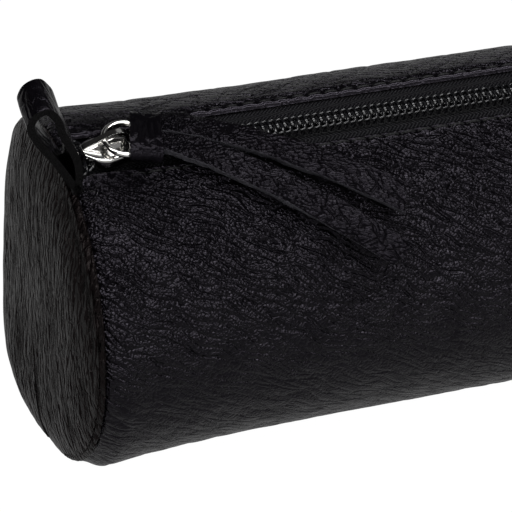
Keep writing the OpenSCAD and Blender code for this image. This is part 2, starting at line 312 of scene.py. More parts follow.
def bent_sheet(name, cells, shape):
    """A grid whose points in millimetres, and own lengths as UV, are given by shape(u, v)."""
    bpy.ops.object.select_all(action="DESELECT")
    bpy.ops.mesh.primitive_grid_add(x_subdivisions=cells[0], y_subdivisions=cells[1], size=1)
    sheet = bpy.context.object
    sheet.name = name
    mesh = sheet.data
    flat = np.empty(len(mesh.vertices) * 3)
    mesh.vertices.foreach_get("co", flat)
    flat = flat.reshape(-1, 3) + 0.5
    points, lengths = shape(flat[:, 0], flat[:, 1])
    mesh.vertices.foreach_set("co", (points * mm).ravel())
    corners = np.empty(len(mesh.loops), np.int32)
    mesh.loops.foreach_get("vertex_index", corners)
    mesh.uv_layers.active.data.foreach_set("uv", (lengths[corners] * mm).ravel())
    mesh.update()
    return sheet


def pick(*pieces):
    """Selects these pieces only, and makes the last one active."""
    bpy.ops.object.select_all(action="DESELECT")
    for piece in pieces:
        piece.select_set(True)
    bpy.context.view_layer.objects.active = pieces[-1]


def finish_mesh(piece, angle=50):
    """Applies the piece's modifiers and smooths its shading up to an angle in degrees."""
    pick(piece)
    for modifier in list(piece.modifiers):
        bpy.ops.object.modifier_apply(modifier=modifier.name)
    bpy.ops.object.shade_smooth_by_angle(angle=math.radians(angle))
    return piece


def give_wall(piece, wall, thinned=None):
    """Gives a sheet a wall in millimetres behind its face, or a share of it at each point."""
    solid = piece.modifiers.new("wall", "SOLIDIFY")
    solid.thickness = wall * mm
    solid.offset = -1
    solid.use_even_offset = False
    if thinned is not None:
        group = piece.vertex_groups.new(name="wall")
        for number, share in enumerate(thinned):
            group.add([number], float(share), "REPLACE")
        solid.vertex_group = group.name
    return piece


def left_end_lean(turn):
    """How far the soft left end is pushed in along the case, round its back, and out low at its back."""
    degrees = np.degrees((turn + math.pi) % (2 * math.pi) - math.pi)
    return sum(depth * hump(middle, width, degrees) for depth, middle, width in end_leans)


def wrap_radius(inset, turn, edge, front):
    """The wrap's outside radius, with its swell by an end seam, its turned edge and its soft folds."""
    degrees = np.abs(np.degrees(turn))
    past = inset - 5
    decay = np.exp(-(past + np.sqrt(past**2 + 4)) / 2 / swell_reach)
    low = step(60, 145, degrees) * (1 - step(flat_from, 165, degrees))
    swell = (swell_side + swell_low * low) * (1 - step(158, 165, degrees))
    radius = wrap_r + swell * step(0, 4.5, inset) * decay - seam_dip * (1 - step(0, 1.3, inset))
    radius += edge_bulge * hump(0.9, 0.6, edge) - edge_valley * hump(2.0, 0.5, edge)

    arc = wrap_r * turn
    raised = 1 - step(flat_from, 163, degrees)
    fade = step(0, 3, inset) * step(0, 2.5, edge) * raised
    across = inset * math.cos(fold_slope) + arc * front * math.sin(fold_slope)
    along = arc * front * math.cos(fold_slope) - inset * math.sin(fold_slope)
    along = along + fold_bend * ripple(inset, arc, 22, 14, 6.6)
    crease = np.clip(1 - 3.6 * np.abs(ripple(across, along, 12, 4.2, 5.1)), 0, 1) ** 2
    radius += fade * (broad_fold * ripple(inset, arc, 17, 12, 1.7) - crease_depth * crease)
    for depth, length, width, seed in soft_folds:
        radius += fade * depth * ripple(across, along, length, width, seed)

    if front > 0:
        radius -= slider_hollow * hump(10, 9, inset) * hump(3.8, 2.6, edge) * step(0, 2.5, inset)
    pucker = hump(1.6, 1.8, inset) * step(1, 4, edge) * raised
    radius += pucker * pucker_depth * ripple(inset, arc, 8, 1.9, 3.3)
    gathered = (1 - step(3, 11, edge)) * (1 - step(9, 26, inset)) * step(0, 2, edge) * step(0, 2.5, inset)
    return radius + gathered * gather_depth * ripple(inset, edge + 0.12 * inset, 11, 1.9, 4.9)


def turned_edge(edge):
    """How far the outside comes down over the turned edge at the mouth."""
    return turned_drop * np.clip(1 - edge / turned_w, 0, 1) ** 2


def wrap_side(name, mouth, front, left):
    """Half of one side of the wrap, from the zip's mouth down to the flat bottom.
    It keeps two marks for the leather's finish: one that takes away the gloss, painted shade in the stitch
    holes and in a patch of the left halves by the mouth, and calm where its grain is quiet."""
    mouth_turn = zip_turn + front * math.asin(mouth / wrap_r)
    reach = front * base_turn - mouth_turn
    marks = {}

    def shape(u, v):
        turn = mouth_turn + reach * crowded(1 - v if front > 0 else v, mouth_crowding)
        edge = np.abs(turn - mouth_turn) * wrap_r
        inset = seam_gap + (half_length - seam_gap) * crowded(u if left else 1 - u, end_crowding)
        radius = wrap_radius(inset, turn, edge, front) - turned_edge(edge)
        hole = (inset - stitch_first + stitch_gap / 2) % stitch_pitch
        hole = np.minimum(hole, stitch_pitch - hole)
        sewn = step(3, 5, inset)
        pits = hump(0, 0.55, hole) * hump(stitch_inset, 0.42, edge) * sewn
        # Painted shade: the stitch holes, and a patch of each left half near the mouth, lose their gloss so
        # that they turn black as if the holes and the curled-down leather were in shade.
        dull = 0.62 * hump(9, 11, inset) * hump(2.0, 4.0, edge) if left else 0
        marks["painted_shade"] = np.clip(np.maximum(2.4 * pits - 0.3, dull), 0, 1)
        low = step(70, 115, np.abs(np.degrees(turn)))
        marks["calm"] = np.maximum(0.85 * np.exp(-((edge / 2.0) ** 2)), 0.6 * low)
        radius -= (front_pit if front > 0 else back_pit) * pits
        radius -= thread_groove * hump(stitch_inset, 0.5, edge) * sewn
        narrowed = front * (mouth - mouth_closed) / wrap_r * (1 - step(10, 24, inset))
        turn = turn - narrowed * np.exp(-edge / 8)
        shown = inset + (left_end_lean(turn) * np.exp(-((inset / 26) ** 2)) if left else 0)
        place = round_case(shown if left else 2 * half_length - shown, turn, radius)
        return place, np.stack([place[:, 0] - seam_x, wrap_r * turn], 1)

    side = bent_sheet(name, wrap_cells, shape)
    for mark, shares in marks.items():
        attribute = side.data.attributes.new(mark, "FLOAT", "POINT")
        attribute.data.foreach_set("value", shares.astype(np.float32))
    rows = np.arange(len(side.data.vertices)) // (wrap_cells[0] + 1) / wrap_cells[1]
    edge = abs(reach) * wrap_r * crowded(1 - rows if front > 0 else rows, mouth_crowding)
    return finish_mesh(give_wall(side, leather_t, thinned=1 - turned_edge(edge) / leather_t), 60)


def grained_leather(name, colour=leather_black, pebble=0.66, grain=0.48, crack=0.18,
                    crack_size=(2.2, 1.5), fold=0.24, fold_size=(7.0, 3.0), turn=-32, roughness=0.16,
                    gloss=0.2, tint=(0.9, 0.82, 1.0), stretch=1.0, wander=7.0):
    """Leather grain: small round pebbles, a net of cracks between groups of them, and long shallow folds.
    Sizes and depths are in millimetres, and the pattern follows the piece's own lengths, turned by turn.
    Pebbles are stretch times as long as wide, and folds wander by wander. Where a piece is marked, its grain
    is flattened by calm, and its gloss is taken away by the other mark, which paints shade."""
    material, tree, shader = new_finish(name)

    def soft_range(value, low, high, to_low=0.0, to_high=1.0):
        return put(tree, "ShaderNodeMapRange", {
            "Value": value, "From Min": low, "From Max": high, "To Min": to_low, "To Max": to_high},
            interpolation_type="SMOOTHSTEP").outputs[0]

    def flat_noise(vector, scale, detail):
        return put(tree, "ShaderNodeTexNoise", {
            "Vector": vector, "Scale": scale, "Detail": detail}, noise_dimensions="2D")

    lengths = put(tree, "ShaderNodeUVMap", uv_map="UVMap")
    sized = put(tree, "ShaderNodeMapping", {
        "Vector": lengths.outputs[0], "Rotation": (0, 0, math.radians(turn)),
        "Scale": (1 / mm, 1 / mm, 1)}).outputs[0]

    def swayed(scale, reach):
        sway = flat_noise(sized, scale, 1.0).outputs["Color"]
        shift = put(tree, "ShaderNodeVectorMath", {0: sway, 1: (0.5, 0.5, 0.5)}, operation="SUBTRACT")
        shift = put(tree, "ShaderNodeVectorMath", {
            0: shift.outputs[0], "Scale": reach}, operation="SCALE")
        return put(tree, "ShaderNodeVectorMath", {0: sized, 1: shift.outputs[0]}, operation="ADD").outputs[0]

    def net(vector, size, width, place=0.0):
        cells = put(tree, "ShaderNodeMapping", {
            "Vector": vector, "Location": (place, place, 0), "Scale": (1 / size[0], 1 / size[1], 1)})
        edges = put(tree, "ShaderNodeTexVoronoi", {"Vector": cells.outputs[0], "Scale": 1.0},
                    voronoi_dimensions="2D", feature="DISTANCE_TO_EDGE")
        return soft_range(edges.outputs["Distance"], 0.0, width, 1.0, 0.0)

    near, far = swayed(0.5, 0.8), swayed(0.12, wander)
    patches = flat_noise(sized, 0.12, 2.0).outputs["Fac"]
    small = put(tree, "ShaderNodeMapping", {
        "Vector": near, "Scale": (1 / pebble / stretch, 1 / pebble, 1)})
    pebbles = put(tree, "ShaderNodeTexVoronoi", {"Vector": small.outputs[0], "Scale": 1.0},
                  voronoi_dimensions="2D", feature="F1")
    dome = calc(tree, "MULTIPLY", pebbles.outputs["Distance"], pebbles.outputs["Distance"])
    dome = calc(tree, "MULTIPLY", dome, soft_range(patches, 0.35, 0.62, 0.7, 1.1))
    broken = soft_range(flat_noise(sized, 0.42, 1.0).outputs["Fac"], 0.48, 0.6)
    cracked = calc(tree, "MULTIPLY", net(near, crack_size, 0.1), broken)
    folded = net(far, fold_size, 0.24, 5.0)
    rolling = flat_noise(far, 0.33, 1.0).outputs["Fac"]
    fine = flat_noise(sized, 3.4, 2.0).outputs["Fac"]

    height = calc(tree, "MULTIPLY", dome, -grain)
    height = calc(tree, "MULTIPLY_ADD", cracked, -crack, height)
    height = calc(tree, "MULTIPLY_ADD", folded, -fold, height)
    height = calc(tree, "MULTIPLY_ADD", rolling, fold * 0.9, height)
    height = calc(tree, "MULTIPLY_ADD", fine, 0.03, height)
    calm = put(tree, "ShaderNodeAttribute", attribute_name="calm")
    height = calc(tree, "MULTIPLY", height, soft_range(calm.outputs["Fac"], 0, 1, 1, 0))
    tinted = put(tree, "ShaderNodeMix", {
        "Factor": patches, "A": (*colour, 1),
        "B": (colour[0] * 1.3, colour[1] * 1.25, colour[2] * 1.25, 1)}, data_type="RGBA")
    # Painted shade: the gloss falls to nothing where the shade mark is high, so the leather turns black
    # there.
    painted_shade = put(tree, "ShaderNodeAttribute", attribute_name="painted_shade")
    feed(shader, {
        "Base Color": tinted.outputs["Result"],
        "Roughness": soft_range(cracked, 0, 1, roughness, roughness + min(0.15, crack)),
        "Specular IOR Level": soft_range(painted_shade.outputs["Fac"], 0, 1, gloss, 0),
        "Specular Tint": (*tint, 1), "Normal": bumped(tree, height, 1)})
    return material


def sew_to_side(piece, node):
    """Bakes the piece's place into its points and hides the part that it replaces."""
    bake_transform(piece)
    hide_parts(node)


wrap_leather = grained_leather("wrap_leather", pebble=0.5, grain=0.38, fold=0.38, fold_size=(9.0, 1.6),
                               wander=3.5)
halves = [(side, hand, mouth, front, hand == "left")
          for side, mouth, front in (("front", mouth_front, 1), ("back", mouth_back, -1))
          for hand in ("left", "right")]
for side, hand, mouth, front, left in halves:
    leather = wrap_side(f"wrap_{side}_{hand}", mouth, front, left)
    leather.data.materials.append(wrap_leather)
    sew_to_side(leather, f"{side}_panel")

bottom_cells = (190, 16)


def flat_bottom(u, v):
    """The strip that the case rests on, from its front edge to its back edge."""
    across = (2 * v - 1) * base_half
    inset = seam_gap + 2 * (half_length - seam_gap) * u
    lift = 0.12 * (1 - step(0, 2.5, np.minimum(inset, 2 * half_length - inset)))
    place = np.stack([seam_x + inset, -across, lift], 1)
    return place, np.stack([inset, wrap_r * base_turn + base_half - across], 1)


bottom = finish_mesh(give_wall(bent_sheet("wrap_bottom", bottom_cells, flat_bottom), leather_t))
bottom.data.materials.append(wrap_leather)
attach(bottom, "case")
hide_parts("bottom_panel")


# ---- Round ends ----
# Each end is a disc of the same leather over a stiff board, rolled softly over its rim and turned in
# where it is sewn to the wrap. Its face is covered in fine upright creases.
cap_line = ((0, 3.0), (9, 3.0), (16, 2.9), (20.5, 2.65), (24, 2.1), (26.8, 1.3), (28.7, 0.55), (29.5, -0.1),
            (29.3, -0.5), (28.6, -0.7), (28.0, -1.0), (28.0, -2.4), (28.0, -4.0))
cap_cells = (300, 96)
rim_from = 0.9
zip_notch = 26
under_wrap = 0.12
off_floor = 0.06
face_share = 0.6
# The ends are the same leather as the wrap, but get a warmer, lighter black: painted light for the warm
# light that falls on the end faces.
cap_lit_black = (0.0035, 0.0027, 0.0028)


def close_mesh(piece):
    """Merges points that lie on each other, which closes seams and poles."""
    pick(piece)
    bpy.ops.object.mode_set(mode="EDIT")
    bpy.ops.mesh.select_all(action="SELECT")
    bpy.ops.mesh.remove_doubles(threshold=0.004 * mm)
    bpy.ops.object.mode_set(mode="OBJECT")
    return piece


def end_cap(name, left):
    """One round end, from the middle of its face to the inside end of its turned-in rim."""
    hand = 1 if left else -1

    def shape(u, v):
        turn = hand * (u * 2 - 1) * math.pi
        degrees = np.degrees(turn)
        radius, out = smooth_line(cap_line, v).T
        slack = hump(52, 30, degrees) if left else 0.4 * hump(-30, 50, degrees)
        out = out - slack * (0.55 * hump(25.8, 2.2, radius) - 0.45 * hump(28.4, 1.1, radius)) * (v < 0.7)
        y, z = radius * np.sin(turn), radius * np.cos(turn)
        face = step(2, 8, radius) * (1 - step(25, 28.5, radius)) * (v < face_share)
        out = out + face * (0.20 * ripple(y, z, 4.2, 17, 2.2) + 0.10 * ripple(y, z, 1.9, 8, 7.4))
        if left:
            out = out + 0.5 * (v < face_share) * hump(24, 9, radius) * hump(-140, 32, degrees)
        roll = hump(28.4, 1.6, radius) * (v < 0.66)
        radius = radius + roll * 0.16 * ripple(turn * wrap_r, radius, 2.2, 6, 4.4)
        notch = 1 - step(zip_notch - 4, zip_notch + 4, np.abs(degrees - math.degrees(zip_turn)))
        out = np.where(out < -rim_from, -rim_from + (out + rim_from) * (1 - 0.95 * notch), out)
        floor_gap = np.where(out < -0.35, leather_t + under_wrap, off_floor)
        lowest = np.where(np.cos(turn) < -0.5, (axis_z - floor_gap) / np.maximum(-np.cos(turn), 0.5), 99)
        radius = np.minimum(radius, lowest)
        lean = left_end_lean(turn) * (radius / wrap_r) ** 2 if left else 0
        inset = lean - out
        walked = np.interp(v, walk_share, walk)
        place = round_case(inset if left else 2 * half_length - inset, turn, radius)
        return place, np.stack([-walked * np.sin(turn) * hand, walked * np.cos(turn)], 1)

    walk_share = np.linspace(0, 1, 200)
    line = smooth_line(cap_line, walk_share)
    walk = np.concatenate([[0], np.cumsum(np.linalg.norm(np.diff(line, axis=0), axis=1))])
    cap = close_mesh(bent_sheet(name, cap_cells, shape))
    return finish_mesh(give_wall(cap, leather_t), 60)


board_cells = (120, 16)
board_r = 24.6
board_t = 0.8
end_lining_t = 0.4
layer_gap = 0.03


def end_layer(name, left, gap, wall):
    """A round layer inside an end, bent as its leather is, with a wall toward the inside."""
    hand = 1 if left else -1
    radii, heights = smooth_line(cap_line, np.linspace(0, 0.5, 100)).T

    def shape(u, v):
        turn = hand * (u * 2 - 1) * math.pi
        radius = board_r * v
        lean = left_end_lean(turn) * (radius / wrap_r) ** 2 if left else 0
        inset = lean - np.interp(radius, radii, heights) + leather_t + gap
        place = round_case(inset if left else 2 * half_length - inset, turn, radius)
        return place, np.stack([-radius * np.sin(turn), radius * np.cos(turn)], 1)

    return finish_mesh(give_wall(close_mesh(bent_sheet(name, board_cells, shape)), wall), 60)


# Painted light: the warm base colour and the warm tint of the sheen stand in for the light on the ends.
cap_leather = grained_leather("cap_leather", cap_lit_black, pebble=0.8, grain=1.1, crack=0.2,
                              crack_size=(4.0, 1.6), fold=0.3, fold_size=(9, 3), turn=90, gloss=0.078,
                              tint=(1.0, 0.86, 0.85), stretch=3.2, wander=2.5)
for hand in ("left", "right"):
    cap = end_cap(f"{hand}_end_cap", hand == "left")
    cap.data.materials.append(cap_leather)
    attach(cap, "case")
    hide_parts(f"{hand}_end_disc")


# ---- End tab ----
# A strip of leather, folded into a loop and sewn into the left seam, is held while the slider is pulled.
# Its cut edges stay raw, dark and slightly fibrous.
tab_line = ((0.55, 28.4), (-0.95, 30.2), (-4.2, 35.6), (-7.5, 40.8), (-9.0, 44.2), (-8.0, 46.9),
            (-5.7, 47.7), (-3.5, 45.6), (-1.8, 41.2), (0.3, 36.5), (1.1, 32.2), (0.9, 28.4))
tab_cells = (110, 18)
tab_front = -8
tab_w = 7
tab_t = 1.3
tab_twist = 0.5
tab_rim = 0.5
tab_edge_black = (0.0022, 0.002, 0.0022)


def from_zip(points):
    """Points drawn from the left seam's middle, with +Z through the chain, put in their place."""
    x, y, z = points.T
    turned_y = y * math.cos(zip_turn) - z * math.sin(zip_turn)
    turned_z = y * math.sin(zip_turn) + z * math.cos(zip_turn)
    return np.stack([seam_x + x, turned_y, axis_z + turned_z], 1)


def cut_edge(name, colour):
    """Raw leather edge: matt, with fine fibres across it."""
    material, tree, shader = new_finish(name)
    fibres = noise(tree, 2.6, 3.0)
    tone = spread(tree, fibres, 0.6, 1.4)
    shade = put(tree, "ShaderNodeVectorMath", {0: colour, "Scale": tone}, operation="SCALE")
    feed(shader, {"Base Color": shade.outputs[0], "Roughness": 0.7, "Specular IOR Level": 0.09,
                  "Normal": bumped(tree, fibres, 0.3)})
    return material


def round_rims(piece, width, segments):
    """Rounds a wall's sharp rims by a width in millimetres."""
    bevel = piece.modifiers.new("rims", "BEVEL")
    bevel.width = width * mm
    bevel.segments = segments
    bevel.limit_method = "ANGLE"
    bevel.angle_limit = math.radians(50)


def give_leather_wall(piece, wall, skin, edge, rounded=0.18):
    """Gives a strip its wall, raw edges of their own finish, and slightly rounded rims."""
    give_wall(piece, wall)
    piece.modifiers["wall"].material_offset_rim = 1
    round_rims(piece, rounded, 3)
    piece.data.materials.append(skin)
    piece.data.materials.append(edge)
    return finish_mesh(piece, 40)


def tab_shape(u, v):
    """The tab's loop, slightly twisted, with soft folds in its top."""
    line = smooth_line(tab_line, u)
    across = tab_front + tab_w * v
    high = step(33, 44, line[:, 1])
    twist = tab_twist * high
    points = np.stack([line[:, 0] + twist * (v - 0.5), across, line[:, 1] + twist * v], 1)
    folds = high * ripple(u * 50, across, 3.5, 5, 6.1)
    points[:, 0] += 0.12 * folds
    points[:, 2] += 0.10 * folds
    return from_zip(points), np.stack([u * 44, across], 1)


tab_leather = grained_leather("tab_leather", pebble=1.1, grain=0.05, crack=0.04, fold=0.1,
                              fold_size=(5, 2.4), turn=70, gloss=0.1)
tab_edge = cut_edge("tab_edge", tab_edge_black)
tab = bent_sheet("end_loop", tab_cells, tab_shape)
give_leather_wall(tab, tab_t, tab_leather, tab_edge, tab_rim)
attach(tab, "case")
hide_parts("end_tab")


# ---- Zip tapes ----
# Two tapes of black yarn, woven in a fine herringbone, carry the coils. Each is sewn under its side's
# turned leather edge and reaches from one end seam to the other.
tape_t = 0.45
tape_out = wrap_r - leather_t - 0.05
tape_edge = 0.5
tape_reach = 11.5
tape_cells = (105, 20)
tape_black = (0.0042, 0.004, 0.0052)
tape_rib = 0.7
tape_band = 1.2


def woven(name, colour, rib, band):
    """Cloth with slanting ribs that turn back in bands, as in a herringbone, or a plain weave at band 0."""
    material, tree, shader = new_finish(name)
    lengths = put(tree, "ShaderNodeTexCoord").outputs["UV"]
    along, across, _ = put(tree, "ShaderNodeSeparateXYZ", {0: lengths}).outputs
    rib_turns = 2 * math.pi / (rib * mm)
    ribs = calc(tree, "MULTIPLY", along, rib_turns)
    if band > 0:
        ribs = calc(tree, "MULTIPLY_ADD", calc(tree, "PINGPONG", across, band * mm), rib_turns, ribs)
    yarns = calc(tree, "MULTIPLY", across, rib_turns * (2 if band > 0 else 1))
    weave = calc(tree, "MULTIPLY_ADD", calc(tree, "SINE", yarns), 0.5, calc(tree, "SINE", ribs))
    height = calc(tree, "MULTIPLY_ADD", noise(tree, 3, 2.0), 1.2, weave)
    tone = spread(tree, height, 0.4, 1.5, -1, 2)
    shine = spread(tree, height, 0.0, 0.3, -0.5, 2)
    shade = put(tree, "ShaderNodeVectorMath", {0: colour, "Scale": tone}, operation="SCALE")
    feed(shader, {"Base Color": shade.outputs[0], "Roughness": 0.6, "Specular IOR Level": shine,
                  "Normal": bumped(tree, height, 0.1)})
    return material


def side_sheet(name, radius, from_turn, to_turn, front, left, first, cells):
    """Half of a thin layer inside one side, between two turns; first is its distance to the end seam."""

    def shape(u, v):
        turn = to_turn + (from_turn - to_turn) * v if front > 0 else from_turn + (to_turn - from_turn) * v
        from_end = first + (half_length - first) * (u if left else 1 - u)
        inset = from_end if left else 2 * half_length - from_end
        return round_case(inset, turn, radius), np.stack([inset, radius * turn], 1)

    return bent_sheet(name, cells, shape)


tape_cloth = woven("tape_cloth", tape_black, tape_rib, tape_band)
for side, hand, mouth, front, left in halves:
    by_chain = zip_turn + front * tape_edge / tape_out
    far_edge = zip_turn + front * math.asin(tape_reach / tape_out)
    tape = side_sheet(f"{side}_tape_{hand}", tape_out, by_chain, far_edge, front, left, seam_gap, tape_cells)
    finish_mesh(give_wall(tape, tape_t))
    tape.data.materials.append(tape_cloth)
    sew_to_side(tape, f"{side}_tape")


# ---- Coils ----
# Each side's coil is one nylon filament, bent into flat turns that reach between the other side's turns.
# A thread ties every turn down to its tape. The coils part at the left, where the slider's wedge is.
# A turn is drawn once, as its share of the pitch, its reach across the zip and its height.
coil_pitch = 1.3
filament = 0.5
tie_thread = 0.28
coil_z = tape_out + 0.1
chain_start = 7.4
chain_turns = 154
half_turns = 75
parted_turns = 4
parted_by = 3.1
coil_turn = ((0.00, -0.50, 0.75), (0.03, -0.15, 0.36), (0.08, 0.8, 0.30), (0.14, 1.4, 0.5),
             (0.22, 1.6, 0.84), (0.5, 1.63, 0.92), (0.8, 1.58, 1.0), (0.92, 1.05, 1.25),
             (0.97, 0.2, 1.28), (0.99, -0.3, 1.15))
tie_turn = ((0.0, 0.45, 1.55), (0.05, 1.5, 1.2), (0.12, 2.3, 0.15), (0.5, 2.5, 0.1), (0.88, 2.3, 0.15),
            (0.95, 1.5, 1.2))
nylon_black = (0.005, 0.005, 0.006, 1)
thread_black = (0.005, 0.005, 0.0055, 1)


def wire(name, points, thickness, closed=False, resolution=1):
    """A round wire of that thickness in millimetres along a line of points."""
    bpy.ops.object.select_all(action="DESELECT")
    bpy.ops.curve.primitive_nurbs_path_add()
    piece = bpy.context.object
    piece.name = name
    curve = piece.data
    curve.splines.clear()
    spline = curve.splines.new("POLY")
    spline.points.add(len(points) - 1)
    spline.points.foreach_set("co", np.column_stack([points * mm, np.ones(len(points))]).ravel())
    spline.use_cyclic_u = closed
    curve.bevel_depth = thickness / 2 * mm
    curve.bevel_resolution = resolution
    curve.use_fill_caps = not closed
    bpy.ops.object.convert(target="MESH")
    return finish_mesh(bpy.context.object, 60)


def parting(x):
    """How far each side's coil has moved away from the middle, left of the slider's wedge."""
    return parted_by * (1 - step(1.2, 7.6, x))


def turns_line(drawn, numbers, front, part=False):
    """One drawn turn, repeated along one side of the chain; the coil's turns part at the slider."""
    line = []
    for number in numbers:
        for share, y, z in drawn:
            x = chain_start + (number + share) * coil_pitch + (0 if front > 0 else coil_pitch / 2)
            line.append((x, -front * (y + (parting(x) if part else 0)), coil_z + z))
    return from_zip(np.array(line))


nylon, nylon_tree, nylon_shader = new_finish("black_nylon")
nylon_gloss = spread(nylon_tree, noise(nylon_tree, 1.4, 2.0), 0.1, 0.24)
feed(nylon_shader, {"Base Color": nylon_black, "Roughness": nylon_gloss, "Specular IOR Level": 0.6})

thread_finish, thread_tree, thread_shader = new_finish("black_thread")
thread_places = put(thread_tree, "ShaderNodeTexCoord")
thread_twist = put(thread_tree, "ShaderNodeTexWave", {
    "Vector": thread_places.outputs["Object"], "Scale": 0.9 / mm, "Distortion": 1.0},
    bands_direction="DIAGONAL")
feed(thread_shader, {"Base Color": thread_black, "Roughness": 0.6, "Specular IOR Level": 0.2,
                     "Normal": bumped(thread_tree, thread_twist.outputs["Fac"], 0.06)})

for side, hand, mouth, front, left in halves:
    first, last = (0, half_turns) if left else (half_turns, chain_turns)
    turns = range(-parted_turns, last + 1) if left else range(first, last)
    coil = wire(f"{side}_coil_{hand}", turns_line(coil_turn, turns, front, part=True), filament)
    coil.data.materials.append(nylon)
    sew_to_side(coil, f"{side}_coil")
    tie = wire(f"{side}_coil_tie_{hand}", turns_line(tie_turn, range(first, last), front), tie_thread,
               resolution=0)
    tie.data.materials.append(thread_finish)
    sew_to_side(tie, f"{side}_coil_thread")


# ---- Stitches ----
# A row of hand-size stitches holds the leather, the tape and the lining along each side of the zip.
# Each stitch dips into its two holes.
thread_d = 0.42
stitch_l = stitch_pitch - stitch_gap
stitch_dip = 0.42
stitch_count = 67
outer_row = wrap_r - 0.02
inner_row = wrap_r - leather_t - tape_t - 0.75


def stitch_bar(name):
    """One stitch, lying along X about its middle, with ends that bend down into the leather."""
    share = np.linspace(-1, 1, 7)
    points = np.stack([share * stitch_l / 2 * 1.08, share * 0, -stitch_dip * np.abs(share) ** 3], 1)
    return wire(name, points, thread_d)


def stitch_row(name, mouth, front, left):
    """Half of a row: the stitches outside the leather and those inside the lining."""
    turn = zip_turn + front * math.asin((mouth + stitch_inset) / wrap_r)
    bars = []
    for number in range(stitch_count):
        middle = stitch_first + number * stitch_pitch + stitch_l / 2
        if (middle < half_length) != left:
            continue
        for radius, outward in ((outer_row, 1), (inner_row, -1)):
            bar = stitch_bar(f"{name}_{number}")
            flat = np.empty(len(bar.data.vertices) * 3)
            bar.data.vertices.foreach_get("co", flat)
            x, y, z = flat.reshape(-1, 3).T / mm
            place = round_case(middle + x, turn + front * y / wrap_r, radius + outward * z)
            bar.data.vertices.foreach_set("co", (place * mm).ravel())
            bars.append(bar)
    pick(*reversed(bars))
    bpy.ops.object.join()
    bars[0].name = name
    return bars[0]


for side, hand, mouth, front, left in halves:
    row = stitch_row(f"{side}_stitches_{hand}", mouth, front, left)
    row.data.materials.append(thread_finish)
    sew_to_side(row, f"{side}_stitches")


# ---- Lining ----
# A thin black cloth, stretched smooth, lines both sides and the bottom.
# A fibre board behind each round end, covered in the same cloth, keeps it round.
lining_t = 0.4
lining_out = tape_out - tape_t - 0.05
lining_first = 4.3
lining_turn = base_turn - math.radians(1.6)
lining_cells = (60, 40)
lining_rib = 0.5
lining_black = (0.03, 0.03, 0.034)
board_pale = (0.36, 0.28, 0.19, 1)
board_dark = (0.16, 0.12, 0.075, 1)

lining_cloth = woven("lining_cloth", lining_black, lining_rib, band=0)
side_cloth = woven("side_cloth", lining_black, lining_rib, band=0.5)
for side, hand, mouth, front, left in halves:
    start = zip_turn + front * math.asin(mouth / lining_out)
    lining = side_sheet(f"{side}_lining_{hand}", lining_out, start, front * lining_turn, front, left,
                        lining_first, lining_cells)
    finish_mesh(give_wall(lining, lining_t))
    lining.data.materials.append(side_cloth)
    sew_to_side(lining, f"{side}_lining")

board, board_tree, board_shader = new_finish("fibre_board")
board_tint = put(board_tree, "ShaderNodeMix", {
    "Factor": noise(board_tree, 0.8, 5.0), "A": board_dark, "B": board_pale}, data_type="RGBA")
feed(board_shader, {"Base Color": board_tint.outputs["Result"], "Roughness": 0.85})

for hand in ("left", "right"):
    left = hand == "left"
    layer = end_layer(f"{hand}_board", left, layer_gap, board_t)
    layer.data.materials.append(board)
    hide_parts(f"{hand}_end_board")
    cloth = end_layer(f"{hand}_board_cloth", left, layer_gap + board_t + layer_gap, end_lining_t)
    cloth.data.materials.append(lining_cloth)
    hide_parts(f"{hand}_end_lining")
    for piece in (layer, cloth):
        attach(piece, "case")

for node, finish in (("bottom_lining", lining_cloth), ("left_seam_thread", thread_finish),
                     ("right_seam_thread", thread_finish)):
    slots = frame["nodes"][node].data.materials
    slots.clear()
    slots.append(finish)


# ---- Slider ----
# Two plates of polished nickel ride over and under the chain. Flanges fold down over the coils, a wedge
# between the plates parts them, and a strip bridges the top plate for the ring.
slider_x = 2.8
slider_end = 11.4
slider_half = 3.8
plate_t = 0.9
shell_t = 0.75
chain_top = coil_z + 1.6
chain_play = 0.3
plate_top = chain_top + chain_play + plate_t
plate_low = coil_z - tape_t - plate_t - 0.7
flange_z = coil_z + 0.6
nose_set_back = 0.5
nose_round = 0.8
plate_cells = (28, 36)
body_line = ((0, 0.6), (0.05, 0.84), (0.12, 0.96), (0.24, 1.0), (0.4, 0.95), (0.58, 0.88),
             (0.8, 0.82), (1, 0.78))
crown_line = ((3.45, 30.5), (3.5, 31.1), (4.2, 31.6), (5.8, 32.3), (7.5, 33.1), (8.9, 33.6),
              (10.2, 33.6), (11.1, 33.0), (11.4, 31.9), (11.2, 30.7))
crown_cells = (40, 6)
crown_w = 1.15
crown_t = 0.9
wedge_line = ((3.5, 0.0), (3.9, 0.55), (4.8, 0.8), (6.3, 0.2), (6.3, -0.2), (4.8, -0.8), (3.9, -0.55))
wedge_in = 0.4
nickel_colour = (0.74, 0.73, 0.71)


def polished(name, colour, roughness):
    """Plated metal with hair-fine scratches."""
    material, tree, shader = new_finish(name)
    places = put(tree, "ShaderNodeTexCoord")
    drawn = put(tree, "ShaderNodeMapping", {"Vector": places.outputs["Object"], "Scale": (1, 6, 6)})
    scratches = noise(tree, 1.2, 3.0, drawn.outputs[0])
    dull = spread(tree, scratches, roughness * 0.6, roughness * 1.5)
    feed(shader, {"Base Color": (*colour, 1), "Metallic": 1.0, "Roughness": dull,
                  "Normal": bumped(tree, scratches, 0.006)})
    return material


def slider_shell(name, section, upper):
    """A plate with rounded shoulders; its section gives shares of the half width, and heights."""

    def shape(u, v):
        across, height = smooth_line(section, v).T
        width = smooth_line(body_line, u)[:, 1]
        start = slider_x + nose_set_back + nose_round * np.abs(across) ** 3
        x = start + (slider_end - start) * u
        points = np.stack([x, slider_half * width * across, height], 1)
        return from_zip(points), np.stack([x, slider_half * across], 1)

    shell = bent_sheet(name, plate_cells, shape)
    give_wall(shell, shell_t)
    shell.modifiers["wall"].offset = -1 if upper else 1
    round_rims(shell, 0.16, 2)
    return finish_mesh(shell)


